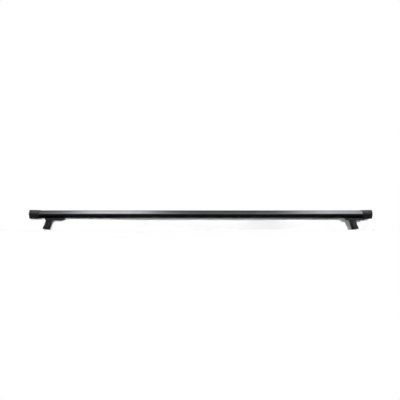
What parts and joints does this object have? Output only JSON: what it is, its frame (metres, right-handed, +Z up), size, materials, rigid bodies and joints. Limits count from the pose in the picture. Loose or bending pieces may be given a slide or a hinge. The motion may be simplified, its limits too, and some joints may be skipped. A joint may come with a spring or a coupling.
{
  "type": "roof rack crossbar",
  "caption": "Black aero roof bar with T-tracks above and below, end caps, a rubber strip and short splayed tubular feet that slide along the lower track.",
  "frame": {"origin": "midway between the two feet, at the level of the lowest points of their rubber pads, under the middle of the bar", "axes": "+X along the bar towards its right-hand end, +Y from the front nose to the rear nose, +Z up through the load face"},
  "size_m": [1.25, 0.0712, 0.0719],
  "materials": {
    "bar_black": "black anodised, satin",
    "strip_rubber": "matt",
    "cap_plastic": "fine moulded grain",
    "foot_paint": "black powder coat, semi-matt",
    "gasket_rubber": "matt",
    "pad_rubber": "matt",
    "dark_steel": "black zinc"
  },
  "bodies": {
    "bar": {"bar_extrusion": "bar_black", "top_strip": "strip_rubber", "left_end_cap": "cap_plastic", "right_end_cap": "cap_plastic"},
    "left_foot": {"left_foot_plate": "foot_paint", "left_gasket": "gasket_rubber", "left_leg_tube": "foot_paint", "left_leg_insert": "dark_steel", "left_leg_pad": "pad_rubber", "left_near_bolt": "dark_steel", "left_far_bolt": "dark_steel", "left_near_washer": "dark_steel", "left_far_washer": "dark_steel", "left_near_track_nut": "dark_steel", "left_far_track_nut": "dark_steel"},
    "right_foot": {"right_foot_plate": "foot_paint", "right_gasket": "gasket_rubber", "right_leg_tube": "foot_paint", "right_leg_insert": "dark_steel", "right_leg_pad": "pad_rubber", "right_near_bolt": "dark_steel", "right_far_bolt": "dark_steel", "right_near_washer": "dark_steel", "right_far_washer": "dark_steel", "right_near_track_nut": "dark_steel", "right_far_track_nut": "dark_steel"}
  },
  "joints": [
    {"name": "left_foot_slide", "type": "slide", "parent": "bar", "child": "left_foot", "axis": [1, 0, 0], "range_m": [-0.017, 0.5]},
    {"name": "right_foot_slide", "type": "slide", "parent": "bar", "child": "right_foot", "axis": [-1, 0, 0], "range_m": [-0.0025, 0.5]}
  ]
}
